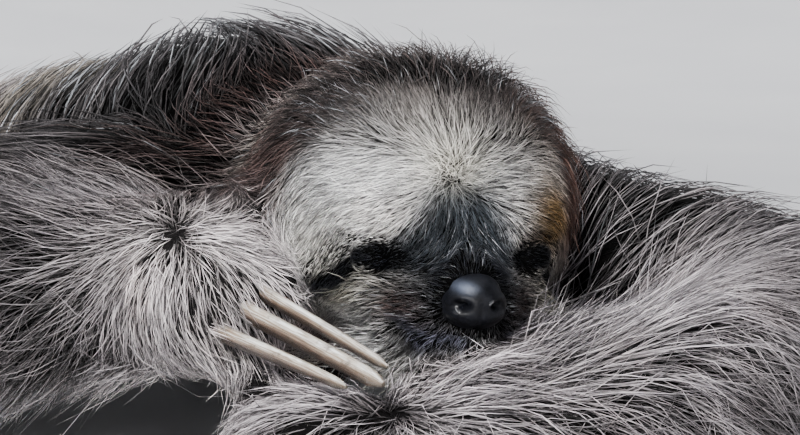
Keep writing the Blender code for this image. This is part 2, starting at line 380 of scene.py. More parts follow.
def makeSkin():
    skin = wrapFlesh()
    corners, _ = readTriangles(skin.data)
    ring = ringOf(corners, len(skin.data.vertices))
    spots = fairly(readSpots(skin.data), ring, skinPlan["fairing"])
    putSpots(skin.data, spots)
    depth = evened(coatDepth(spots, labelled(spots)), ring, skinPlan["depthEvening"])
    normals = evened(unit(readSpots(skin.data, "normal")), ring, 3)
    spots = spots - unit(normals) * depth[:, None]
    spots[:, 2] = np.maximum(spots[:, 2], skinPlan["clear"])
    putSpots(skin.data, evened(spots, ring, 3))
    print("skin drawn in", len(spots))
    alone(skin)
    with editMode(select="SELECT"):
        bpy.ops.uv.smart_project(**skinPlan["unwrap"])
    skin.data.uv_layers[0].name = "OFBake"
    print("skin unwrapped")
    refine(skin, lambda head: (head[:, 1] > 10) & (np.linalg.norm(head, axis=1) < 75))
    refine(skin, lambda head: (head[:, 1] > 24) & (head[:, 2] < 14) & (np.linalg.norm(head, axis=1) < 75))
    refine(skin, lambda head: nearEyes(head, 9) | ((head[:, 1] > 38) & (np.abs(head[:, 2] + 19.5) < 14.5)))
    corners, _ = readTriangles(skin.data)
    ring = ringOf(corners, len(skin.data.vertices))
    spots = readSpots(skin.data)
    onFace = ease(6, 14, toHead(spots)[:, 1]) * (np.linalg.norm(toHead(spots), axis=1) < 80)
    spots += (evened(spots, ring, 6) - spots) * onFace[:, None]
    putSpots(skin.data, spots)
    putSpots(skin.data, sculptFace(spots, unit(readSpots(skin.data, "normal"))))
    print("skin sculpted", len(spots))
    return skin


# Markings, with painted shade on the arms and shoulders: one colour for each place, shared by the skin and
# by the coat that grows there.
marks = {
    "limb": (0.46, 0.42, 0.44),
    "hand": (0.62, 0.57, 0.58),
    # painted shade: the upper arms and the shoulders of the back darkened, where the light falls off away
    # from the face
    "upperArm": (0.075, 0.068, 0.070),
    "armBack": (0.19, 0.17, 0.155),
    "mantlePaintedShade": (0.054, 0.050, 0.053),
    "rump": (0.27, 0.24, 0.20),
    "pale": (0.56, 0.58, 0.62),
    "brow": (0.72, 0.715, 0.715),
    "forehead": (0.31, 0.30, 0.295),
    "crown": (0.034, 0.027, 0.026),
    "rust": (0.066, 0.037, 0.030),
    "sideHair": (0.047, 0.028, 0.025),
    "cheek": (0.55, 0.53, 0.48),
    "olive": (0.36, 0.34, 0.26),
    "amber": (0.20, 0.125, 0.052),
    "slate": (0.026, 0.032, 0.039),
    "silver": (0.11, 0.125, 0.145),
    "muzzle": (0.045, 0.042, 0.045),
    "black": (0.007, 0.008, 0.012),
    # dark lips with a painted bluish highlight along them
    "lipsAndHighlight": (0.090, 0.094, 0.130),
    "chin": (0.20, 0.19, 0.165),
}


def waves(spots, length, seed):  # a smooth wandering value from -1 to 1
    table = np.random.default_rng(seed)
    total = np.zeros(len(spots))
    for _ in range(5):
        heading = unit(table.normal(size=3))
        pace = table.uniform(0.7, 1.6) * 2 * math.pi / length
        total += np.sin(spots @ heading * pace + table.uniform(0, 6.3))
    return total / 3


def backOfArms(spots):  # their backs and elbows, away from the face
    behind = ease(-0.15, -0.09, spots[:, 1]) * ease(0.088, 0.066, spots[:, 2])
    elbows = np.maximum(ease(0.110, 0.135, spots[:, 0]), ease(-0.125, -0.150, spots[:, 0]))
    return np.maximum(behind, elbows)


def paintMarksAndShade(spots, nodeOf):
    tone = {name: np.array(colour) for name, colour in marks.items()}
    # the back: darker towards the shoulders as painted shade, paler at the rump
    back = mix(tone["mantlePaintedShade"], tone["rump"], ease(-0.03, 0.09, spots[:, 1]))
    patches = ease(0.1, 0.9, waves(spots, 0.09, 8)) * ease(0.02, 0.09, spots[:, 1])
    tone["back"] = mix(back, tone["limb"], 0.8 * patches)
    low = ease(0.076, 0.056, spots[:, 2]) * ease(-0.14, -0.17, spots[:, 1])
    high = ease(0.105, 0.130, spots[:, 2]) * on(nodeOf, "trunk")
    arms = on(nodeOf, "upper_arm", "forearm", "hand")
    behind = backOfArms(spots) * arms
    inner = (-0.046, -0.173, 0.084)  # between the right wrist and the head
    layers = [
        ("back", on(nodeOf, "trunk", "tail", "thigh")),
        ("upperArm", on(nodeOf, "upper_arm") * (1 - 0.8 * low)),
        ("mantlePaintedShade", on(nodeOf, "upper_arm_right") * 0.8),
        ("hand", on(nodeOf, "hand_right")),
        ("sideHair", on(nodeOf, "neck")),
        ("pale", 0.6 * high * ease(-0.1, 0.6, waves(spots, 0.045, 5))),
        ("armBack", 0.85 * behind),
        ("sideHair", blotch(spots, inner, (0.024, 0.014, 0.014), 1.7)),
    ]
    colour = layered(tone["limb"], tone, layers)
    # painted shade: the arms darker the farther they are from the head, as if the light fell off, except on
    # their backs
    paintedShade = 1 - 0.76 * ease(54, 106, np.linalg.norm(toHead(spots), axis=1)) * arms * (1 - behind)
    # painted shade along the top of the right forearm
    paintedShade = paintedShade * (1 - 0.5 * ease(0.076, 0.089, spots[:, 2]) * on(nodeOf, "forearm_right"))
    # darker round each whorl, where the coat parts
    for source in whorls().values():
        paintedShade = paintedShade * (1 - 0.4 * blotch(spots, source, 0.006))
    return colour * (paintedShade * (1 + 0.18 * waves(spots, 0.06, 6)))[:, None]


def paintHead(colour, spots, onHead):
    tone = {name: np.array(value) for name, value in marks.items()}
    drift = np.stack([waves(spots, 0.014, seed) for seed in (21, 22, 23)], 1)
    head = toHead(spots) + drift * 0.9
    left, ahead, above = head.T
    aside, turned = np.abs(left), halved(head)
    tone["brow"] = mix(tone["brow"], tone["forehead"], ease(9, 22, above))
    tone["shadedCheek"] = tone["cheek"] * 0.85
    pale = ease(17, 30, ahead) * ease(33, 11, above + 0.30 * left.clip(0))
    pale = np.maximum(pale, ease(12, 23, ahead) * ease(18, 4, above) * ease(45, 35, aside))
    pale = pale * (1 - ease(26, 32, left) * ease(-14, -4, above))
    bridge = ease(10.5, 4.5, above) * ease(-15, -9, above) * (ahead > 20)
    wedge = ease(1.5, -2.0, np.abs(left + 1.5) - (8.5 + (7 - above) * 0.48)) * bridge
    heart = ease(1.5, -2.5, np.abs(left + 1.5) - (5.5 + (7 - above) * 0.50)) * bridge
    eye = band(turned, (16.0, 40, -9.0), (24.5, 34.5, -10.2), 2.6, 3.0)
    stripe = band(turned, (23.5, 35, -9.8), (31, 25, -20.6), 2.1, 3.0)
    layers = [
        ("armBack", 0.6 * ease(-4, -24, ahead)),
        ("rust", 0.8 * ease(8, 30, left) * ease(4, 22, above) * ease(-20, -6, ahead)),
        ("sideHair", ease(22, 10, ahead) * ease(24, 6, above) * ease(-24, -8, ahead)),
        ("brow", pale),
        ("shadedCheek", ease(8, -8, above) * ease(18, 32, aside) * pale * 0.7),
        ("cheek", 0.9 * blotch(turned, (22.5, 37, -15.5), (10, 14, 4.6))),
        ("olive", 0.9 * blotch(turned, (26, 33, -20), (5, 14, 5))),
        ("amber", blotch(head, (24.5, 36, 1), (9.5, 14, 12.0), 1.25)),
        ("olive", 0.8 * blotch(head, (-2, 42, 11.5), (9, 14, 7))),
        ("silver", 0.8 * wedge),
        ("slate", heart),
        ("muzzle", blotch(turned, (12, 46, -20), (13, 14, 7.5), 1.5)),
        ("rust", 0.7 * blotch(turned, (16, 43, -20), (5, 12, 4.5))),
        ("black", blotch(turned, (0, 52, -14), (11, 12, 8), 1.9)),
        ("muzzle", 0.9 * blotch(turned, (6, 47, -28), (13, 14, 5))),
        # the lips' own dark colour, lightened and blued by a painted highlight along them
        ("lipsAndHighlight", band(turned, (0, 50, -25.5), (13, 44, -25.5), 2.6, 1.5)),
        ("chin", 0.9 * ease(-30.0, -33.0, above) * (aside < 18)),
        ("rust", ease(25, 32, left) * ease(-18, -10, above) * ease(36, 29, ahead)),
        ("black", np.maximum(eye, stripe)),
    ]
    return mix(colour, layered(tone["crown"], tone, layers), onHead)


# The lie of the coat: listed arrows, in the head's millimetres, then one rule for each limb.
faceLie = [
    # place: aside, ahead, above; arrow: outward, ahead, up
    ((0, 40, 11), (0, 0, 1)),
    ((6, 40, 11), (1, 0, 0.3)),
    ((12, 40, 7), (1, 0, -0.05)),
    ((22, 36, 6), (1, -0.3, -0.15)),
    ((32, 28, 6), (0.7, -0.5, -0.5)),
    ((30, 30, -2), (0.7, -0.3, -0.8)),
    ((40, 18, 4), (0.2, -0.3, -1)),
    ((38, 20, -8), (-0.1, 0.1, -1)),
    ((33, 27, -8), (0.25, -0.2, -1)),
    ((34, 22, -18), (-0.3, 0.1, -1)),
    ((29, 29, -16), (0.6, -0.4, -1)),
    ((20, 40, 0), (1, -0.1, -0.25)),
    ((13, 42, 2), (0.9, 0, -0.4)),
    ((10, 43, -3), (0.45, 0.1, -1)),
    ((4, 43, 3), (0.35, 0.1, -1)),
    ((0, 44, 0), (0, 0.3, -1)),
    ((5, 46, -5), (0.5, 0.1, -1)),
    ((9, 44, -9), (0.9, -0.3, -0.5)),
    ((0, 49, -8), (0, -0.3, 1)),
    ((15, 42, -13), (1, -0.5, 0.1)),
    ((22, 39, -14), (1, -0.5, 0.0)),
    ((28, 33, -20), (0.9, -0.6, -0.5)),
    ((10, 49, -15), (1, -0.6, 0.1)),
    ((12, 47, -20), (1, -0.6, -0.1)),
    ((18, 40, -22), (1, -0.7, -0.3)),
    ((10, 50, -24), (0.8, -0.3, -0.7)),
    ((3, 52, -24), (0.2, 0, -1)),
    ((14, 42, -29), (0.4, -0.3, -1)),
    ((5, 48, -29), (0.3, -0.2, -1)),
    ((0, 48, -30), (0, -0.2, -1)),
    ((0, 38, -36), (0, -1, -0.3)),
    ((0, 20, -38), (0, -1, 0)),
    ((25, 15, -30), (0.1, -1, -0.3)),
    ((44, 0, 0), (0.1, -0.4, -1)),
    ((40, 0, 20), (0.3, -0.6, -0.7)),
    ((30, 20, 26), (0.6, -0.8, 0.2)),
    ((12, 32, 26), (0.35, -0.4, 1)),
    ((0, 34, 26), (0, -0.3, 1)),
    ((0, 16, 42), (0, -1, 0.3)),
    ((22, 8, 38), (0.6, -1, 0.1)),
    ((0, -20, 38), (0, -1, -0.4)),
    ((20, -36, 14), (0.1, -1, -0.5)),
    ((45, -20, 0), (0, -1, -0.7)),
]
whorl = (-2.5, 40, 11)


def headLie(head):
    folded = halved(head)
    arrows = np.zeros_like(head)
    total = np.full(len(head), 1e-12)
    for place, arrow in faceLie:
        gap = ((folded - np.array(place)) ** 2).sum(1)
        share = 1 / (gap + 4) ** 2
        arrows += share[:, None] * unit(np.array(arrow, float))
        total += share
    arrows /= total[:, None]
    arrows[:, 0] *= np.where(head[:, 0] < 0, -1.0, 1.0) * ease(0, 2.5, folded[:, 0])
    return mix(unit(arrows), unit(head - np.array(whorl)), blotch(head, whorl, (8, 20, 8)))


# Whorls and the ways that the coat runs from them, as places on the nodes' boxes.
def onBox(node, share):
    low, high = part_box(node)
    return np.array([low[axis] + (high[axis] - low[axis]) * share[axis] for axis in range(3)])


def limbRun(first, last):  # from the middle of one node to the middle of another
    return np.array(middleOf(last) - middleOf(first))


def towards(places, guides, softness=3.0):  # arrows blended from the nearest guides, in millimetres
    arrows = np.zeros_like(places)
    for place, arrow in guides:
        gap = ((places - np.array(place)) ** 2).sum(1)
        arrows += (1 / (gap + softness**2) ** 2)[:, None] * unit(np.array(arrow, float))
    return unit(arrows)


# The left arm, across the front: arrows at places in millimetres from its forearm's inner low front corner.
armLie = [
    ((97, 94, 55), (0.10, 0.19, 0.98)),
    ((98, 90, 47), (0.17, -0.66, 0.74)),
    ((104, 83, 57), (0.44, -0.49, 0.75)),
    ((101, 81, 45), (0.28, -0.71, 0.65)),
    ((119, 72, 66), (0.85, -0.29, 0.43)),
    ((108, 99, 73), (0.67, 0.44, 0.59)),
    ((12, 27, 51), (1.0, -0.25, 0.05)),
    ((28, 30, 47), (0.93, 0.10, 0.32)),
    ((47, 36, 49), (0.80, 0.10, 0.60)),
    ((65, 32, 51), (0.80, 0.05, 0.60)),
    ((79, 33, 54), (0.90, -0.10, 0.40)),
    ((93, 30, 56), (0.58, -0.81, -0.05)),
    ((100, 22, 54), (0.54, -0.76, -0.36)),
    ((51, 21, 46), (0.98, -0.22, 0.03)),
    ((20, 26, 44), (0.85, -0.49, -0.18)),
    ((73, 16, 45), (0.52, -0.55, -0.65)),
    ((86, 15, 46), (0.50, -0.56, -0.66)),
    ((35, 16, 39), (0.60, -0.48, -0.64)),
    ((24, 18, 40), (0.42, -0.60, -0.68)),
    ((57, 13, 38), (0.52, -0.30, -0.80)),
    ((93, 11, 38), (0.60, -0.25, -0.76)),
    ((112, 61, 72), (0.87, -0.49, 0.09)),
    ((180, 60, 40), (0.60, 0.30, -0.70)),
    ((180, 120, 40), (0.70, 0.20, -0.60)),
    ((150, 160, 90), (0.80, 0.10, -0.50)),
    ((60, 5, 12), (0.50, -0.10, -0.80)),
    ((130, 8, 20), (0.60, 0.10, -0.80)),
]


def whorls():
    return {
        "right": onBox("hand_right", (0.40, 0.52, 0.87)),
        "left": onBox("hand_left", (0.79, 0.42, 0.96)),
    }


def bodyLie(spots, nodeOf):
    arrows = np.tile([0.0, 1.0, 0.0], (len(spots), 1))
    spine = middleOf("trunk")
    up = np.stack([-(spots[:, 0] - spine.x) * 3, np.full(len(spots), 0.05), np.full(len(spots), 0.06)], 1)
    trunk = on(nodeOf, "trunk")
    arrows[trunk] = unit(up)[trunk]
    arrows[on(nodeOf, "neck")] = [0, 1, -0.25]
    arrows[on(nodeOf, "tail")] = [0, 1, -0.3]
    for side, source in whorls().items():
        here = on(nodeOf, f"hand_{side}", f"forearm_{side}")
        arrows[here] = unit(spots[here] - source)
        arrows[on(nodeOf, f"upper_arm_{side}")] = unit([sides[side], -0.25, -0.25])
        thigh = limbRun(f"thigh_{side}", f"shin_{side}") + np.array([0, 0, 0.02])
        arrows[on(nodeOf, f"thigh_{side}")] = unit(thigh)
        shin = -limbRun(f"shin_{side}", f"foot_{side}")
        arrows[on(nodeOf, f"shin_{side}", f"foot_{side}")] = unit(shin)
    here = on(nodeOf, "forearm_left", "upper_arm_left")
    corner = np.array(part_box("forearm_left")[0])
    arrows[here] = towards((spots[here] - corner) * 1000, armLie)
    return arrows


# What the coat is like on each part: strand length and width in millimetres, how much it stands out,
# how far strands stray in degrees, how they bunch, and how wide a bunch is.
coatPlan = {
    "neck": (26, 0.35, 0.30, 12, 0.35, 5),
    "trunk": (46, 0.75, 0.30, 11, 0.45, 9),
    "tail": (30, 0.7, 0.30, 12, 0.4, 8),
    "upper_arm": (38, 0.42, 0.28, 14, 0.45, 5),
    "forearm_left": (33, 0.28, 0.26, 21, 0.45, 4),
    "forearm_right": (30, 0.28, 0.24, 15, 0.45, 4),
    "hand_left": (24, 0.28, 0.25, 16, 0.45, 4),
    "hand_right": (17, 0.24, 0.20, 12, 0.35, 3),
    "thigh": (46, 0.85, 0.30, 11, 0.45, 9),
    "shin": (34, 0.7, 0.25, 12, 0.4, 7),
    "foot": (22, 0.5, 0.22, 12, 0.35, 5),
}


headHair = {  # the same for regions of the head
    "face": (8.0, 0.18, 0.24, 12, 0.35, 1.6),
    "top": (11.0, 0.21, 0.50, 20, 0.30, 2.5),
    "hang": (22.0, 0.26, 0.30, 12, 0.40, 3.5),
    "bridge": (5.0, 0.16, 0.20, 12, 0.2, 1.3),
    "muzzle": (4.4, 0.16, 0.24, 11, 0.15, 1.0),
    "lid": (2.0, 0.11, 0.12, 9, 0.1, 1.0),
    "stripe": (3.0, 0.13, 0.15, 9, 0.1, 1.0),
    "nosePad": (1.6, 0.09, 0.3, 12, 0.1, 1.0),
    "beard": (19.0, 0.20, 0.62, 20, 0.3, 2.0),
}
fringe = (8, 0, 0.34, 8, 0, 0)  # added to the hair that hangs below the right wrist
# So that no skin shows where the coat parts: how far round it the hair changes and what is added there,
# how far round its middle strands stray and by how many degrees, and how far round it they grow closer.
partings = {
    "right": (0.006, (-6, -0.03, 0.05, 14, -0.3, 0), 0.0032, 80, 0.010),
    "left": (0.007, (0, 0, 0.26, 40, 0, 0), 0.0032, 80, 0.010),
    "forehead": ((4.5, 9, 4.5), (-3.6, -0.05, 0, 14, -0.3, 0), (1.9, 9, 1.9), 70, (4.5, 20, 4.5)),
}
closer = 5  # how many times as many strands are added there


def tousled(looks, spots, name, source):
    radii, change, inner, stray, _ = partings[name]
    looks = looks + blotch(spots, source, radii)[:, None] * np.array(change)
    looks[:, 3] += stray * blotch(spots, source, inner)
    return looks


def coatLooks(spots, nodeOf):
    looks = byNode(coatPlan, nodeOf)
    low = on(nodeOf, "hand_right", "forearm_right") * ease(0.052, 0.038, spots[:, 2])
    low = low * ease(-0.050, -0.064, spots[:, 0])
    looks = looks + low[:, None] * np.array(fringe)
    for side, source in whorls().items():
        looks = tousled(looks, spots, side, source)
    head = toHead(spots)
    left, ahead, above = head.T
    turned = halved(head)
    hair = {name: np.array(row) for name, row in headHair.items()}
    crown = np.maximum(ease(20, 32, above), ease(24, 10, ahead))
    made = mix(hair["face"], hair["top"], crown)
    made[:, 0] += 6 * ease(4, 20, left) * np.maximum(crown, ease(28, 36, left)) * ease(-8, 4, above)
    layers = [
        ("hang", ease(24, 6, ahead) * ease(22, 8, above)),
        ("bridge", blotch(turned, (10, 44, -9), (12, 14, 12), 1.4)),
        ("muzzle", blotch(turned, (5, 50, -20), (10, 12, 9), 1.5)),
        ("lid", band(turned, (15, 40, -8.2), (26, 34, -9.6), 4.8, 1.8)),
        ("stripe", band(turned, (26, 34, -7.0), (33, 25, -17.5), 5.0, 1.8)),
        ("nosePad", blotch(head, (0, 54, -17), (9, 9, 7), 1.5)),
        ("beard", ease(-27, -31, above) * (ahead > 20) * (1 - 0.5 * ease(40, 46, ahead))),
    ]
    made = tousled(layered(made, hair, layers), head, "forehead", whorl)
    return np.where(on(nodeOf, *headParts)[:, None], made, looks)


class Surface:  # the finished skin as plain arrays, for growing the coat on
    def __init__(self, skin):
        mesh = skin.data
        self.corners, loops = readTriangles(mesh)
        self.spots = readSpots(mesh)
        self.ring = ringOf(self.corners, len(self.spots))
        self.normals = unit(evened(unit(readSpots(mesh, "normal")), self.ring, 1))
        self.unwrap = readNumbers(mesh.uv_layers["OFBake"].data, "uv", 2, np.float32)[loops]
        first, second, third = (self.spots[self.corners[:, number]] for number in range(3))
        self.area = np.linalg.norm(np.cross(second - first, third - first), axis=1) / 2
        self.nodeOf = labelled(self.spots)
        self.onHead = on(self.nodeOf, *headParts)
        self.looks = coatLooks(self.spots, self.nodeOf)
        lie = bodyLie(self.spots, self.nodeOf)
        lie[self.onHead] = (headLie(toHead(self.spots)) @ headAxes)[self.onHead]
        onFace = self.onHead & (toHead(self.spots)[:, 1] > 15)
        rough = self.flattened(lie)
        soft = rough
        for _ in range(9):
            soft = self.flattened(evened(soft, self.ring, 1, 0.8))
        self.lie = np.where(onFace[:, None], self.flattened(evened(rough, self.ring, 2)), soft)
        self.looks = np.where(onFace[:, None], self.looks, evened(self.looks, self.ring, 10))
        self.depth = evened(coatDepth(self.spots, self.nodeOf), self.ring, 8)
        self.crowding = np.ones(len(self.spots))
        for side, source in whorls().items():
            self.crowding += closer * blotch(self.spots, source, partings[side][-1])
        self.crowding += closer * blotch(toHead(self.spots), whorl, partings["forehead"][-1])
        colour = evened(paintMarksAndShade(self.spots, self.nodeOf), self.ring, 16)
        onHead = evened(self.onHead.astype(float), self.ring, 4)
        self.colour = paintHead(colour, self.spots, onHead)
        self.grizzle = self.greying()

    def greying(self):  # the share of pale strands among the dark ones
        shares = {"trunk": 0.16, "tail": 0.16, "thigh": 0.16, "upper_arm": 0.04, "neck": 0.015}
        grey = np.zeros(len(self.spots))
        for part, share in shares.items():
            grey[on(self.nodeOf, part)] = share
        grey = np.maximum(grey, 0.14 * backOfArms(self.spots))
        head = toHead(self.spots)
        crown = 0.03 + 0.16 * ease(10, 26, head[:, 2]) * ease(2, 14, head[:, 1])
        turned = halved(head)
        whiskers = 0.22 * blotch(turned, (14, 44, -18), (9, 14, 7))
        whiskers += 0.15 * blotch(turned, (4, 46, -2), (8, 14, 8))
        whiskers *= 1 - band(turned, (14, 41, -8.5), (26, 35, -10), 5.0, 1.6)
        grey[self.onHead] = (crown * ease(32, 24, head[:, 1]) + whiskers)[self.onHead]
        return evened(grey, self.ring, 4)

    def flattened(self, arrows):
        return unit(arrows - (arrows * self.normals).sum(1)[:, None] * self.normals)

    def nearest(self, at, spots, hops=3):
        rows = np.arange(len(at))
        for _ in range(hops):
            near = self.ring[at]
            gap = ((self.spots[near] - spots[:, None]) ** 2).sum(2)
            at = near[rows, gap.argmin(1)]
        return at


def turnedBy(arrows, axes, angle):
    angle = angle[:, None]
    return arrows * np.cos(angle) + np.cross(axes, arrows) * np.sin(angle)


strandPlan = {
    "spread": (-0.05, 0.22),  # of the lengths: a lognormal's mean and width
    "undercoat": 0.45,  # how long the lowest strands are, against the longest
    "widths": (0.7, 1.1),
    "unruly": (0.05, 0.13),  # the share of strands that stray far, on the head and elsewhere
    "unrulier": 2.5,  # times as far
    "local": (0.8, 0.45),  # how far a strand takes on the colour under it, on the head and elsewhere
    "raised": (0.03, 1.4),  # the share of strands that stand off more, and how much more
    "sunk": 0.0004,  # of the root, in the skin
    "clear": 0.0006,  # of the floor
    "bakePatch": 0.003,  # of each strand on the unwrap
}


def fewer(count):
    return count


def growPaths(surface, faces, count, bends, pace, dice):
    share = surface.area[faces] * surface.crowding[surface.corners[faces, 0]]
    chosen = faces[dice.choice(len(faces), count, p=share / share.sum())]
    weights = dice.dirichlet((1, 1, 1), count)
    corners = surface.corners[chosen]

    def atRoots(values):  # blended from the corners round each root
        return (values * weights.reshape(count, 3, *[1] * (values.ndim - 2))).sum(1)

    roots = atRoots(surface.spots[corners])
    unwrap = atRoots(surface.unwrap[chosen])
    colour = atRoots(surface.colour[corners])
    grey = dice.random(count) < atRoots(surface.grizzle[corners])
    onHead = surface.onHead[corners[:, 0]]
    high = np.where(onHead, 0.42, 0.60)[grey]
    colour[grey] = np.array(marks["pale"]) * dice.uniform(0.15, high)[:, None]
    depth = atRoots(surface.depth[corners])
    length, width, rise, stray, bunch, bunchSize = atRoots(surface.looks[corners]).T
    layer = dice.random(count)  # from the undercoat to the guard hairs
    longer = strandPlan["undercoat"] + (1 - strandPlan["undercoat"]) * ease(0.1, 0.5, layer)
    length = length / 1000 * dice.lognormal(*strandPlan["spread"], count) * longer
    width = width / 1000 * dice.uniform(*strandPlan["widths"], count) * (0.8 + 0.45 * layer)
    wander = waves(roots, 0.05, 3) * 9 + waves(roots, 0.012, 4) * 6
    unruly = dice.random(count) < np.where(onHead, *strandPlan["unruly"])
    unruly = np.where(unruly, strandPlan["unrulier"], 1)
    veer = dice.normal(0, 1, count) * stray * unruly + wander * np.minimum(stray, 16) / 12
    curl = dice.normal(0, 0.5, count) * stray
    at = corners[:, 0]
    walk = roots.copy()
    local = np.where(onHead, *strandPlan["local"])
    tints, paths = [], []
    steps = max(1, math.ceil(np.median(length) / bends / pace))
    for bend in range(bends + 1):
        along = bend / bends
        if bend:
            for part in range(steps):
                done = (bend - 1 + (part + 1) / steps) / bends
                heading = turnedBy(surface.lie[at], surface.normals[at], np.radians(veer + curl * done))
                stride = length * np.sqrt(np.clip(1 - rise**2, 0.05, 1)) / bends / steps
                walk = walk + heading * stride[:, None]
                at = surface.nearest(at, walk)
                off = ((walk - surface.spots[at]) * surface.normals[at]).sum(1)
                walk = walk - off[:, None] * surface.normals[at]
        paths.append((walk.copy(), surface.normals[at].copy()))
        tints.append(mix(colour, surface.colour[at], local * min(1, 1.6 * along) * ~grey))
    high = np.where(rise > 0.45, length * rise, np.minimum(length * rise, depth * 1.15))
    some, more = strandPlan["raised"]
    high = high * (0.25 + 0.8 * layer) * np.where(dice.random(count) < some, more, 1)
    made = []
    for bend, (walk, normal) in enumerate(paths):
        along = bend / bends
        lift = high * (1 - (1 - along) ** 1.7) - strandPlan["sunk"] * (bend == 0)
        made.append(walk + normal * lift[:, None])
    made = np.stack(made, 1)
    cell = np.floor(roots / (np.maximum(np.round(bunchSize), 1) / 1000)[:, None]).astype(np.int64)
    key = (cell[:, 0] * 73856093) ^ (cell[:, 1] * 19349663) ^ (cell[:, 2] * 83492791)
    _, group = np.unique(key, return_inverse=True)
    members = np.bincount(group)
    for bend in range(1, bends + 1):
        pull = bunch * (bend / bends) ** 1.2 * dice.uniform(0.3, 1.0, count)
        centre = np.stack([np.bincount(group, made[:, bend, axis]) / members for axis in range(3)], 1)
        made[:, bend] += (centre[group] - made[:, bend]) * pull[:, None]
    made[:, 1:-1] = 0.5 * made[:, 1:-1] + 0.25 * (made[:, :-2] + made[:, 2:])
    lowest = strandPlan["clear"] + 0.0012 * (1 - np.linspace(0, 1, bends + 1))
    made[:, :, 2] = np.maximum(made[:, :, 2], lowest)
    normals = np.stack([normal for _, normal in paths], 1)
    # each strand's brightness: lower strands darker, as painted shade deep in the coat, with some at random
    shade = 0.55 * layer + 0.45 * dice.random(count)
    return made, normals, width, unwrap, np.stack(tints, 1), shade


def buildStrands(name, paths, normals, width, unwrap, colour, shade):
    count, stations = paths.shape[:2]
    bends = stations - 1
    heading = unit(np.gradient(paths, axis=1))
    outward = unit(normals - (normals * heading).sum(2)[:, :, None] * heading)
    across = np.cross(heading, outward)
    along = np.linspace(0, 1, stations)
    radius = width[:, None] / 2 * (1 - 0.35 * along[None, :bends])
    rings = []
    for corner in range(3):
        angle = math.pi / 2 + corner * 2 * math.pi / 3
        arm = outward[:, :bends] * math.sin(angle) + across[:, :bends] * math.cos(angle)
        rings.append(paths[:, :bends] + arm * radius[:, :, None])
    body = np.stack(rings, 2).reshape(count, bends * 3, 3)
    spots = np.concatenate([body, paths[:, -1:]], 1)
    each = bends * 3 + 1
    first = np.arange(count)[:, None] * each
    quads = []
    for bend in range(bends - 1):
        for corner in range(3):
            low, high = bend * 3 + corner, bend * 3 + (corner + 1) % 3
            quads.append([low, high, high + 3, low + 3])
    last = (bends - 1) * 3
    ends = [[last + corner, last + (corner + 1) % 3, bends * 3] for corner in range(3)] + [[2, 1, 0]]
    quadLoops = (first[:, :, None] + np.array(quads)[None]).reshape(-1)
    endLoops = (first[:, :, None] + np.array(ends)[None]).reshape(-1)
    loops = np.concatenate([quadLoops, endLoops]).astype(np.int32)
    quadCount, endCount = count * len(quads), count * 4
    starts = np.concatenate([np.arange(quadCount) * 4, quadCount * 4 + np.arange(endCount) * 3])
    mesh = bpy.data.meshes.new(name)
    mesh.vertices.add(count * each)
    mesh.vertices.foreach_set("co", spots.astype(np.float32).ravel())
    mesh.loops.add(len(loops))
    mesh.loops.foreach_set("vertex_index", loops)
    mesh.polygons.add(quadCount + endCount)
    mesh.polygons.foreach_set("loop_start", starts.astype(np.int32))
    mesh.polygons.foreach_set("use_smooth", np.ones(quadCount + endCount, bool))
    mesh.update(calc_edges=True)
    alongAll = np.append(np.repeat(along[:bends], 3), 1)
    sideAll = np.append(np.tile([0, 0.5, 1], bends), 0.5)
    nudge = np.stack([sideAll - 0.5, alongAll - 0.5], 1) * strandPlan["bakePatch"]
    places = (unwrap[:, None] + nudge[None]).reshape(-1, 2)
    layer = mesh.uv_layers.new(name="OFBake")
    layer.data.foreach_set("uv", places[loops].astype(np.float32).ravel())
    colour = np.concatenate([np.repeat(colour[:, :bends], 3, axis=1), colour[:, -1:]], 1)
    writeColour(mesh, colour.reshape(-1, 3))
    writeNumbers(mesh, along=np.tile(alongAll, count), shade=np.repeat(shade, each))
    return linked(name, mesh)


# Materials. A wire stands for one socket, so that sums read as sums.
class Wire:
    def __init__(self, finish, socket):
        self.finish, self.socket = finish, socket

    def sum(self, operation, first, second):
        return self.finish.add("ShaderNodeMath", {"operation": operation}, {0: first, 1: second})

    def __add__(self, other):
        return self.sum("ADD", self, other)

    def __sub__(self, other):
        return self.sum("SUBTRACT", self, other)

    def __rsub__(self, other):
        return self.sum("SUBTRACT", other, self)

    def __mul__(self, other):
        return self.sum("MULTIPLY", self, other)

    def __pow__(self, other):
        return self.sum("POWER", self, other)

    __radd__ = __add__
    __rmul__ = __mul__


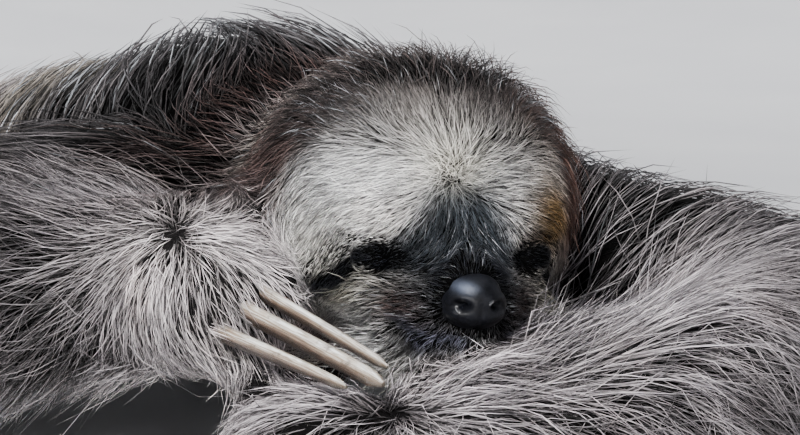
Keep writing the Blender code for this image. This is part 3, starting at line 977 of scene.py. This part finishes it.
class Finish:
    def __init__(self, name, **sockets):
        self.material = bpy.data.materials.new(name)
        self.material.use_nodes = True
        self.tree = self.material.node_tree
        self.shader = self.tree.nodes["Principled BSDF"]
        for socket, value in sockets.items():
            self.shader.inputs[socket.replace("_", " ")].default_value = value

    def add(self, kind, settings=None, sockets=None, output=0):
        node = self.tree.nodes.new(kind)
        for setting, value in (settings or {}).items():
            if setting == "stops":
                ramp = node.color_ramp
                while len(ramp.elements) < len(value):
                    ramp.elements.new(0.5)
                for element, (place, colour) in zip(ramp.elements, value):
                    element.position = place
                    element.color = (*colour, 1)
            else:
                setattr(node, setting, value)
        for socket, value in (sockets or {}).items():
            self.feed(node.inputs[socket], value)
        return Wire(self, node.outputs[output])

    def feed(self, socket, value):
        if isinstance(value, Wire):
            self.tree.links.new(value.socket, socket)
        elif isinstance(value, tuple) and len(value) == 3 and len(socket.default_value) == 4:
            socket.default_value = (*value, 1)
        else:
            socket.default_value = value

    def set(self, socket, value):
        self.feed(self.shader.inputs[socket], value)

    def place(self):
        return self.add("ShaderNodeTexCoord", output="Object")

    def attribute(self, name, output="Fac"):
        return self.add("ShaderNodeAttribute", {"attribute_name": name}, output=output)

    def noise(self, scale, detail=3, vector=None, roughness=0.5):
        sockets = {"Vector": vector or self.place(), "Scale": scale}
        sockets.update({"Detail": detail, "Roughness": roughness})
        return self.add("ShaderNodeTexNoise", {}, sockets)

    def blend(self, share, first, second, kind="MIX"):
        settings = {"data_type": "RGBA", "blend_type": kind, "clamp_factor": True}
        return self.add("ShaderNodeMix", settings, {0: share, 6: first, 7: second}, output=2)

    def scaled(self, colour, factor):
        return self.add("ShaderNodeVectorMath", {"operation": "SCALE"}, {0: colour, "Scale": factor})

    def bump(self, height, distance, strength=1.0):
        sockets = {"Height": height, "Distance": distance, "Strength": strength}
        self.set("Normal", self.add("ShaderNodeBump", {}, sockets))

    def ramp(self, factor, stops):
        return self.add("ShaderNodeValToRGB", {"stops": stops}, {"Fac": factor})

    def spread(self, value, low, high, newLow=0.0, newHigh=1.0):
        sockets = {"Value": value, "From Min": low, "From Max": high, "To Min": newLow, "To Max": newHigh}
        return self.add("ShaderNodeMapRange", {"clamp": True}, sockets)


coatFinishPlan = {
    "root": 0.05,  # brightness at the root, middle and tip of a strand
    "middle": 0.95,
    "tip": 1.15,
    "toneAndDeepShade": (0.02, 2.0),  # from the lowest and dullest strand to the highest and brightest
    "gloss": (0.34, 0.58),
}


def coatFinish():
    finish = Finish("coat", Roughness=0.5, Specular_IOR_Level=0.16)
    plan = coatFinishPlan
    along, shade = finish.attribute("along"), finish.attribute("shade")
    colour = finish.attribute("coatColour", "Color")
    # dark roots: partly the dark undercoat, partly painted shade deep in the coat
    darkRootsAndShade = finish.spread(along, 0.08, 0.7, plan["root"], plan["middle"])
    tipping = finish.spread(along, 0.7, 1.0, 0.0, plan["tip"] - plan["middle"])
    # lower strands darker as painted shade, the rest of the spread at random
    toneAndDeepShade = finish.spread(finish.spread(shade, 0.24, 0.84) ** 1.8, 0.0, 1.0, *plan["toneAndDeepShade"])
    mottled = finish.spread(finish.noise(70, 2), 0.3, 0.7, 0.85, 1.15)
    colour = finish.scaled(colour, (darkRootsAndShade + tipping) * toneAndDeepShade * mottled)
    warm = finish.spread(finish.noise(45, 3), 0.5, 0.75, 0.0, 0.25)
    finish.set("Base Color", finish.blend(warm, colour, (0.95, 0.80, 0.68), "MULTIPLY"))
    finish.set("Roughness", finish.spread(shade, 0, 1, *plan["gloss"]))
    finish.bump(finish.noise(900, 2), 0.0001, 0.4)
    return finish.material


def skinFinish():
    finish = Finish("skin", Roughness=0.8, Specular_IOR_Level=0.02)
    colour = finish.attribute("coatColour", "Color")
    # the skin nearly black: partly its own dark colour, partly painted shade under the coat
    darkSkinAndShade = finish.spread(finish.noise(2500, 3), 0.3, 0.7, 0.003, 0.016)
    finish.set("Base Color", finish.scaled(colour, darkSkinAndShade))
    finish.set("Roughness", finish.spread(finish.noise(600, 2), 0.3, 0.7, 0.6, 0.9))
    finish.bump(finish.noise(2200, 4) + 0.6 * finish.noise(700, 2), 0.0004, 0.8)
    return finish.material


def dress(piece, material):
    piece.data.materials.clear()
    piece.data.materials.append(material)
    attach(piece, "root")


# Coat pieces: where each grows, how many triangles it may have, the bends of a strand and its pace.
def growCoat(surface, material):
    head = toHead(surface.spots)
    onHead, nodeOf = surface.onHead, surface.nodeOf
    ahead, above, aside = head[:, 1], head[:, 2], np.abs(head[:, 0])
    pad = np.linalg.norm((head - [0.3, 54, -16.5]) / [6.8, 12, 4.8], axis=1) < 1
    front = onHead & (ahead > 14) & (above < 26) & ~pad
    lower = front & (above < -6) & (aside < 26) & (ahead > 24)
    pieces = {
        "coat_muzzle": (lower, 120000, 2, 0.0012),
        "coat_brow": (front & ~lower & (head[:, 0] > -6), 170000, 2, 0.002),
        "coat_cheek": (front & ~lower & (head[:, 0] <= -6), 190000, 2, 0.002),
        "coat_crown": (onHead & ~front & ~pad, 140000, 3, 0.003),
        "coat_neck": (on(nodeOf, "neck"), 30000, 3, 0.004),
        "coat_forearm_right": (on(nodeOf, "forearm_right"), 150000, 2, 0.004),
        "coat_hand_right": (on(nodeOf, "hand_right"), 80000, 2, 0.003),
        "coat_forearm_left": (on(nodeOf, "forearm_left"), 190000, 2, 0.004),
        "coat_hand_left": (on(nodeOf, "hand_left"), 80000, 2, 0.003),
        "coat_upper_arms": (on(nodeOf, "upper_arm"), 130000, 3, 0.004),
        "coat_trunk": (on(nodeOf, "trunk", "tail"), 100000, 3, 0.005),
        "coat_legs": (on(nodeOf, "thigh", "shin", "foot"), 90000, 3, 0.005),
    }
    for number, (name, (test, triangles, bends, pace)) in enumerate(pieces.items()):
        faces = np.nonzero(test[surface.corners].any(1))[0]
        count = fewer(int(triangles / (6 * bends - 2)))
        paths = growPaths(surface, faces, count, bends, pace, np.random.default_rng(100 + number))
        piece = buildStrands(name, *paths)
        dress(piece, material)
        print(name, count, "strands")


# Claws: each one redrawn along its own solid.
clawPlan = {
    "around": 28,
    "along": 24,
    "radius": 2.4,  # millimetres, of the middle claw of a hand
    # each claw: share of that, taper, drop of the root
    "each": {1: (0.90, 0.42, 0), 2: (1.05, 0.20, 0), 3: (0.86, 0.42, 1.8)},
    "lean": math.radians(38),  # of the ridge, towards the front
    "flat": 0.88,
    "ridge": 0.14,
    "deeper": 0.12,  # share of its length that it is drawn back into the hand
    "cuff": (210, 12.0, 0.24),  # hairs round its root, their length and width in millimetres
}


def clawAxis(node):
    spots = readSpots(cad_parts[node].data)
    middle = spots.mean(0)
    run = np.linalg.svd(spots - middle)[2][0]
    along = (spots - middle) @ run
    ends = [spots[along < np.percentile(along, 12)], spots[along > np.percentile(along, 88)]]
    ends.sort(key=lambda end: -np.linalg.norm(end - end.mean(0), axis=1).mean())
    return ends[0].mean(0), middle, ends[1].mean(0)


class Claw:  # a bowed axis, so that the horn and the hair round its root share one shape
    def __init__(self, node):
        self.node = node
        root, middle, self.tip = clawAxis(node)
        self.size, self.taper, drop = clawPlan["each"][int(node[-1])]
        self.root = root - (self.tip - root) * clawPlan["deeper"] - [0, 0, drop / 1000]
        self.run = unit(self.tip - root)
        ridge = middle - (root + self.tip) / 2
        ridge = ridge - self.run * (ridge @ self.run)
        up = np.array([0, 0, 1.0]) - self.run * self.run[2]
        up = unit(unit(ridge) * 0.5 + unit(up)) if np.linalg.norm(ridge) > 0.0004 else unit(up)
        up = unit(up - self.run * (up @ self.run))
        front = np.cross(self.run, up)
        lean = clawPlan["lean"] * (1 if front[1] < 0 else -1)
        self.up = up * math.cos(lean) + front * math.sin(lean)
        self.across = np.cross(self.run, self.up)
        self.bow = max((middle - (root + self.tip) / 2) @ self.up * 1.5, 0)

    def surface(self, share, angle, inner=1.0):  # points on or inside it, with share 0 at the root
        radius = clawPlan["radius"] / 1000 * self.size * (1 - self.taper * share.clip(0) ** 2.2)
        radius = radius * (1 - 0.12 * ease(0.25, 0.0, share))
        radius = radius * np.sqrt(np.clip(1 - ((share - 0.93) / 0.07).clip(0, 1) ** 2, 0.10, 1))
        wide = inner * radius * clawPlan["flat"] * np.cos(angle)
        rise = np.sin(angle)
        keel = 1 + clawPlan["ridge"] * rise.clip(0) ** 5 - 0.16 * (-rise).clip(0)
        tall = inner * radius * keel * rise
        middle = self.root + (self.tip - self.root) * share[:, None]
        middle = middle + self.up * (self.bow * 4 * share * (1 - share))[:, None]
        return middle + self.across * wide[:, None] + self.up * tall[:, None]


def makeClaw(claw, material):
    size = {"vertices": clawPlan["around"], "radius": 1, "depth": 1}
    horn = primitive(bpy.ops.mesh.primitive_cylinder_add, end_fill_type="TRIFAN", **size)
    selectNone()
    for edge in horn.data.edges:
        first, second = (horn.data.vertices[end].co for end in edge.vertices)
        edge.select = abs(first.z - second.z) > 0.5
    with editMode("EDGE"):
        bpy.ops.mesh.subdivide(number_cuts=clawPlan["along"] - 1)
    spots = readSpots(horn.data)
    share = 1 - (0.5 - spots[:, 2]).clip(0, 1) ** 1.5  # rings closer together at the tip
    angle = np.arctan2(spots[:, 1], spots[:, 0])
    putSpots(horn.data, claw.surface(share, angle, np.hypot(spots[:, 0], spots[:, 1])))
    alone(horn)
    with editMode(select="SELECT"):
        bpy.ops.mesh.normals_make_consistent(inside=False)
    horn.name = horn.data.name = f"{claw.node}_horn"
    writeNumbers(horn.data, reach=share, turn=np.sin(angle))
    bpy.ops.object.shade_smooth_by_angle(angle=math.radians(50))
    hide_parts(claw.node)
    dress(horn, material)


def growCuffs(claws, surface, material):  # hair that runs out over the root of each claw
    dice = np.random.default_rng(50)
    count, length, width = clawPlan["cuff"]
    count = fewer(count)
    made = [[] for _ in range(6)]
    for claw in claws:
        whole = np.linalg.norm(claw.tip - claw.root) * 1000
        angle = dice.uniform(0, 2 * math.pi, count)
        start = dice.uniform(-0.02, 0.16, count)
        reach = length * dice.uniform(0.5, 1.2, count) * (1 + 0.35 * np.sin(angle)) / whole
        lean = dice.normal(0, 0.35, count)
        stations, outward = [], []
        for along, inner in ((0, 0.6), (0.3, 1.15), (0.65, 1.28), (1, 1.12)):
            spin = angle + lean * along
            stations.append(claw.surface(start + reach * along, spin, inner))
            outward.append(claw.across * np.cos(spin)[:, None] + claw.up * np.sin(spin)[:, None])
        near = ((surface.spots - claw.root) ** 2).sum(1).argmin()
        face = np.nonzero((surface.corners == near).any(1))[0][0]
        tone = surface.colour[near] * dice.uniform(0.6, 1.1, (count, 1, 1))
        made[0].append(np.stack(stations, 1))
        made[1].append(np.stack(outward, 1))
        made[2].append(width / 1000 * dice.uniform(0.7, 1.2, count))
        made[3].append(np.repeat(surface.unwrap[face].mean(0)[None], count, axis=0))
        made[4].append(np.repeat(tone, 4, axis=1))
        made[5].append(0.45 + 0.55 * dice.random(count))
    piece = buildStrands("coat_claw_cuffs", *(np.concatenate(part) for part in made))
    dress(piece, material)


def clawFinish():
    glow = {"Subsurface_Weight": 0.06, "Subsurface_Radius": (0.003, 0.002, 0.0012)}
    finish = Finish("claw", Roughness=0.35, **glow)
    reach, turn = finish.attribute("reach"), finish.attribute("turn")
    run = {0: reach * 2.2, 1: turn * 6.0, 2: finish.noise(60, 1) * 1.5}
    grain = finish.add("ShaderNodeCombineXYZ", {}, run)
    streak = finish.noise(2.6, 5, grain, 0.6)
    fine = finish.noise(9.0, 4, grain, 0.6)
    # partly the horn's own paler ridge and tan flanks, partly painted highlight on the ridge and painted
    # shade below it, by the turn round the claw
    height = turn * 1.25 - 0.42 + (streak - 0.5) * 1.6
    stops = [
        (0.0, (0.010, 0.007, 0.005)),
        (0.25, (0.045, 0.030, 0.021)),
        (0.45, (0.115, 0.078, 0.055)),
        (0.60, (0.19, 0.145, 0.108)),
        (0.74, (0.29, 0.270, 0.235)),
        (0.92, (0.46, 0.465, 0.45)),
    ]
    base = finish.ramp(height, stops)
    stain = finish.spread(reach, 0.10, 0.40, 0.45, 0.0)
    base = finish.blend(stain, base, (0.080, 0.062, 0.046))
    rosy = finish.spread(finish.noise(5.0, 3, grain), 0.50, 0.64, 0.0, 0.6)
    base = finish.blend(rosy, base, (0.075, 0.042, 0.028))
    clear = finish.spread(reach, 0.90, 1.0, 0.0, 0.4)
    base = finish.blend(clear, base, (0.10, 0.080, 0.054))
    dirt = finish.spread(finish.noise(420, 4), 0.60, 0.70, 0.0, 0.6)
    finish.set("Base Color", finish.blend(dirt, base, (0.035, 0.022, 0.014)))
    finish.set("Roughness", finish.spread(fine, 0.3, 0.7, 0.22, 0.42))
    finish.bump(fine + 0.5 * streak, 0.0003, 0.8)
    return finish.material


# The nose pad: a ball shaped to the solid's size, with nostrils, a groove and fine pebbling.
nosePlan = {
    "pad": ((0.3, 50.6, -17.8), (7.7, 7.4, 5.4)),
    "top": ((0.3, 50.1, -14.6), (6.0, 6.4, 4.2)),
    "nostril": (4.3, 57.0, -17.2),
    "beads": ((-5.3, 55.5, -18.3), (2.1, 57.4, -16.0)),  # wet points
}


def makeNose(material):
    nose = primitive(bpy.ops.mesh.primitive_uv_sphere_add, segments=72, ring_count=54, radius=1)
    arrows = unit(readSpots(nose.data))
    centre = np.array([0, 50.4, -16.2])
    reach = np.zeros(len(arrows))
    for middle, radii in (nosePlan["pad"], nosePlan["top"]):
        start, size = (centre - middle) / np.array(radii), arrows / np.array(radii)
        second, first, zero = (size * size).sum(1), 2 * (size @ start), start @ start - 1
        far = (-first + np.sqrt(np.maximum(first * first - 4 * second * zero, 0))) / (2 * second)
        reach = np.maximum(reach, far) + 0.10 * np.exp(-np.abs(reach - far))
    head = centre + arrows * reach[:, None]
    aside = np.abs(head[:, 0])
    turned = halved(head)
    wet = sum(blotch(head, place, (0.8, 9, 0.8)) for place in nosePlan["beads"])
    # painted highlight: a soft bluish patch on top of the pad
    bloom = blotch(head, (-3.2, 55.4, -13.2), (2.0, 9, 1.1))
    pushed = 3.4 * blotch(turned, nosePlan["nostril"], (1.5, 9, 1.05))
    pushed += 0.9 * blotch(turned, (6.3, 55, -18.0), (1.3, 9, 0.9))
    pushed -= 0.35 * blotch(turned, (4.4, 57, -15.2), (2.6, 6, 0.9))
    pushed += 0.5 * np.exp(-(aside / 0.55) ** 2) * ease(-15.5, -18.5, head[:, 2])
    pushed -= 0.45 * wet
    putSpots(nose.data, fromHead(head - arrows * pushed[:, None]))
    nose.name = nose.data.name = "nose_pad"
    writeNumbers(nose.data, wet=wet, bloom=bloom)
    finishWith(nose, "SUBSURF", levels=1, render_levels=1)
    bpy.ops.object.shade_smooth()
    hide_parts("nose")
    dress(nose, material)


def noseFinish():
    damp = {"Coat_Roughness": 0.08, "Coat_IOR": 2.0}
    finish = Finish("nosePad", Roughness=0.4, Specular_IOR_Level=0.10, **damp)
    wet = finish.attribute("wet")
    finish.set("Coat Weight", finish.spread(wet, 0.3, 0.7, 0.0, 1.0))
    pebble = finish.add("ShaderNodeTexVoronoi", {}, {"Vector": finish.place(), "Scale": 1900.0}, "Distance")
    cloud = finish.noise(350, 3)
    base = finish.ramp(cloud, [(0.35, (0.0008, 0.0009, 0.0015)), (0.65, (0.0022, 0.0025, 0.004))])
    # the pad's near-black colour, lightened to pale blue under the painted highlight
    finish.set("Base Color", finish.blend(finish.attribute("bloom") * 0.8, base, (0.060, 0.072, 0.100)))
    finish.set("Roughness", finish.spread(cloud, 0.3, 0.7, 0.42, 0.56) - wet * 0.2)
    finish.bump(pebble * 0.5 + cloud * 0.3, 0.0002, 0.5)
    return finish.material


def makeEye(side, material):
    place = fromHead(np.array(facePlan["eye"]) * [sides[side], 1, 1])
    size = {"segments": 40, "ring_count": 28, "radius": facePlan["eyeball"] / 1000}
    eye = primitive(bpy.ops.mesh.primitive_uv_sphere_add, **size)
    spots = readSpots(eye.data)
    gaze = headAxes[1]
    bulge = np.clip(unit(spots) @ gaze, 0, 1) ** 24
    writeNumbers(eye.data, gaze=unit(spots) @ gaze)
    putSpots(eye.data, place + spots * (1 + 0.02 * bulge)[:, None])
    eye.name = eye.data.name = f"eyeball_{side}"
    bpy.ops.object.shade_smooth()
    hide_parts(f"eye_{side}")
    dress(eye, material)


def eyeFinish():
    finish = Finish("eye", Roughness=0.12, Coat_Roughness=0.05, Coat_Weight=0.5)
    iris = finish.spread(finish.attribute("gaze"), 0.78, 0.95, 0.0, 1.0)
    stops = [
        (0.0, (0.006, 0.005, 0.005)),
        (0.5, (0.016, 0.008, 0.005)),
        (0.8, (0.008, 0.004, 0.003)),
        (0.86, (0.001, 0.001, 0.001)),
    ]
    finish.set("Base Color", finish.ramp(iris + 0.15 * finish.noise(900, 3), stops))
    return finish.material


# Floor, lights and camera.
stagePlan = {
    "radius": 7,
    "height": 7,
    "sweep": 6.2,
    "pale": (0.78, 0.78, 0.79),
    "shaded": (0.72, 0.72, 0.74),
}


def makeStage():  # a round floor that sweeps up into its wall
    plan = stagePlan
    size = {"vertices": 96, "radius": plan["radius"], "depth": plan["height"]}
    floor = primitive(bpy.ops.mesh.primitive_cylinder_add, location=(0, 0, plan["height"] / 2), **size)
    bpy.ops.object.transform_apply(location=True)
    floor.name = "floor"
    selectNone("FACE")
    for face in floor.data.polygons:
        face.select = face.normal.z > 0.5
    with editMode():
        bpy.ops.mesh.delete(type="FACE")
        bpy.ops.mesh.select_all(action="SELECT")
        bpy.ops.mesh.flip_normals()
    finishWith(floor, "BEVEL", width=plan["sweep"], segments=48, limit_method="ANGLE", angle_limit=1.0)
    bpy.ops.object.shade_smooth()
    finish = Finish("studio", Roughness=0.85)
    cloud = finish.spread(finish.noise(3, 3), 0.3, 0.7)
    finish.set("Base Color", finish.blend(cloud, plan["shaded"], plan["pale"]))
    floor.data.materials.append(finish.material)


lightPlan = {
    # name: heading and height in degrees as seen from the head, distance, size, power, colour
    "key": (-46, 36, 0.43, 0.13, 7.0, (1.0, 0.985, 0.97)),
    "fill": (30, 20, 1.1, 0.7, 0.6, (0.90, 0.95, 1.0)),
    "back": (150, 55, 1.5, 0.6, 1.5, (0.88, 0.94, 1.0)),
    "overhead": (0, 90, 5.0, 6.0, 55, (0.97, 0.98, 1.0)),
}
washPlan = {
    "headings": (-60, 30, 120, 210),
    "reach": 1.2,
    "height": 2.4,
    "aim": 5.0,
    "size": 1.6,
    "power": 90,
}


def hang(name, place, target, size, power, colour):
    lamp = bpy.data.lights.new(name, "AREA")
    lamp.size, lamp.energy, lamp.color = size, power, colour
    holder = linked(name, lamp)
    holder.location = place
    holder.rotation_euler = (Vector(place) - Vector(target)).to_track_quat("Z", "Y").to_euler()


def makeLights():
    for name, (heading, height, far, *settings) in lightPlan.items():
        turn, lift = math.radians(heading), math.radians(height)
        away = Vector((math.sin(turn) * math.cos(lift), -math.cos(turn) * math.cos(lift), math.sin(lift)))
        hang(name, Vector(headMiddle) + away * far, Vector(headMiddle), *settings)
    wash = washPlan  # lamps that face outwards, for the floor and the wall alone
    for heading in wash["headings"]:
        turn = math.radians(heading)
        out = Vector((math.sin(turn), math.cos(turn), 0))
        place = out * wash["reach"] + Vector((0, 0, wash["height"]))
        hang("wash", place, out * wash["aim"], wash["size"], wash["power"], (0.97, 0.98, 1.0))
    world = bpy.data.worlds.new("studio")
    world.use_nodes = True
    sky = world.node_tree.nodes["Background"]
    sky.inputs["Color"].default_value = (0.80, 0.86, 0.95, 1)
    sky.inputs["Strength"].default_value = 0.05
    bpy.context.scene.world = world


cameraPlan = {
    "fromHead": (-0.1545, -0.2595, 0.0432),
    "heading": math.radians(-30),
    "dip": math.radians(9),
    "lens": 51.98,
    "film": 36,
}


def makeCamera():
    lens = bpy.data.cameras.new("camera")
    lens.sensor_width, lens.lens = cameraPlan["film"], cameraPlan["lens"]
    lens.clip_start = 0.01
    camera = linked("camera", lens)
    camera.location = Vector(headMiddle) + Vector(cameraPlan["fromHead"])
    camera.rotation_euler = (math.pi / 2 - cameraPlan["dip"], 0, cameraPlan["heading"])
    bpy.context.scene.camera = camera


makeCamera()
makeLights()
makeStage()
print("stage set")

skin = makeSkin()
surface = Surface(skin)
writeColour(skin.data, surface.colour)
alone(skin)
bpy.ops.object.shade_smooth()
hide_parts(*fleshNodes)
dress(skin, skinFinish())
print("skin finished")

furMaterial = coatFinish()
growCoat(surface, furMaterial)

claws = []
for paw in ("hand", "foot"):
    for side in sides:
        claws += [Claw(f"{paw}_claw_{side}_{number}") for number in (1, 2, 3)]
hornMaterial = clawFinish()
for claw in claws:
    makeClaw(claw, hornMaterial)
growCuffs(claws, surface, furMaterial)
makeNose(noseFinish())
wetMaterial = eyeFinish()
for side in sides:
    makeEye(side, wetMaterial)
print("claws, nose and eyes made")
